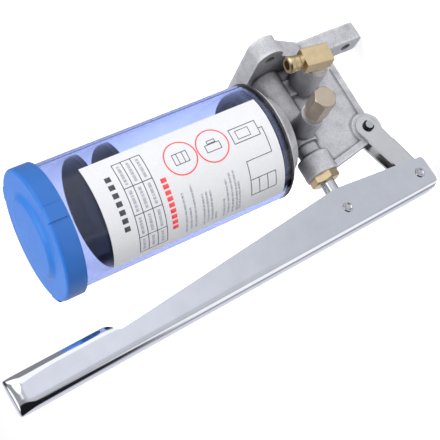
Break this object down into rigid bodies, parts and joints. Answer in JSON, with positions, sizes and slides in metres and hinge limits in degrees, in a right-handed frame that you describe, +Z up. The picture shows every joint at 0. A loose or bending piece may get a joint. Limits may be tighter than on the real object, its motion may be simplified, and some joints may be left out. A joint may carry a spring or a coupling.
{
  "type": "manual grease pump",
  "caption": "Wall-mounted hand grease pump: clear reservoir with blue cap on a cast body, long pressed lever working a plunger through a link, brass outlet elbow.",
  "frame": {"origin": "midway between the two ear holes, on the face of the plate that meets the wall", "axes": "+Z up to the reservoir's cap, +Y into the wall, +X to the side that carries the outlet elbow and the side plug"},
  "size_m": [0.0896, 0.1393, 0.3107],
  "materials": {
    "cast_aluminium": "shot-blasted casting, light grey",
    "clear_tube": "clear, tinted blue",
    "black_rubber": "matte black rubber",
    "label_film": "silvery white film",
    "blue_plastic": "satin sky blue",
    "brass": "machined brass",
    "pale_brass": "machined, paler and browner than the elbow",
    "steel": "ground steel",
    "black_steel": "blackened spring steel",
    "plated_sheet": "bright plated pressed sheet"
  },
  "bodies": {
    "housing": {"pump_body": "cast_aluminium", "reservoir_tube": "clear_tube", "base_gasket": "black_rubber", "spigot_o_ring": "black_rubber", "label": "label_film", "gland_nut": "brass", "gland_packing": "black_rubber", "gland_washer": "steel", "side_plug": "pale_brass", "side_plug_washer": "steel", "outlet_elbow": "brass", "check_spring": "steel", "link_pin": "steel", "link_circlips": "black_steel"},
    "cap": {"reservoir_cap": "blue_plastic"},
    "follower_piston": {"follower": "black_rubber"},
    "plunger": {"plunger_rod": "steel"},
    "swing_link": {"link": "plated_sheet"},
    "hand_lever": {"lever": "plated_sheet", "lever_rivet_link": "steel", "lever_rivet_plunger": "steel"},
    "valve_ball": {"check_ball": "steel"}
  },
  "joints": [
    {"name": "link_pivot", "type": "hinge", "parent": "housing", "child": "swing_link", "pos_m": [0, -0.0706, -0.04941], "axis": [1, 0, 0], "range_deg": [-7.5, 1]},
    {"name": "lever_pivot", "type": "hinge", "parent": "swing_link", "child": "hand_lever", "pos_m": [0, -0.1134, -0.0616], "axis": [1, 0, 0], "range_deg": [-4, 34]},
    {"name": "plunger_slide", "type": "slide", "parent": "housing", "child": "plunger", "axis": [0, -1, 0], "range_m": [-0.0034, 0.0276]},
    {"name": "follower_slide", "type": "slide", "parent": "housing", "child": "follower_piston", "axis": [0, 0, 1], "range_m": [-0.083, 0.026]},
    {"name": "cap_lift", "type": "slide", "parent": "housing", "child": "cap", "axis": [0, 0, 1], "range_m": [0, 0.04]},
    {"name": "check_ball_lift", "type": "slide", "parent": "housing", "child": "valve_ball", "axis": [1, 0, 0], "range_m": [0, 0.0015], "stiffness_N_per_m": 100, "springref_m": -0.008, "deforming": ["check_spring"]}
  ],
  "couplings": [
    {"joint": "link_pivot", "follows": "lever_pivot", "ratio": -0.217},
    {"joint": "plunger_slide", "follows": "lever_pivot", "m_per_rad": 0.046259}
  ]
}
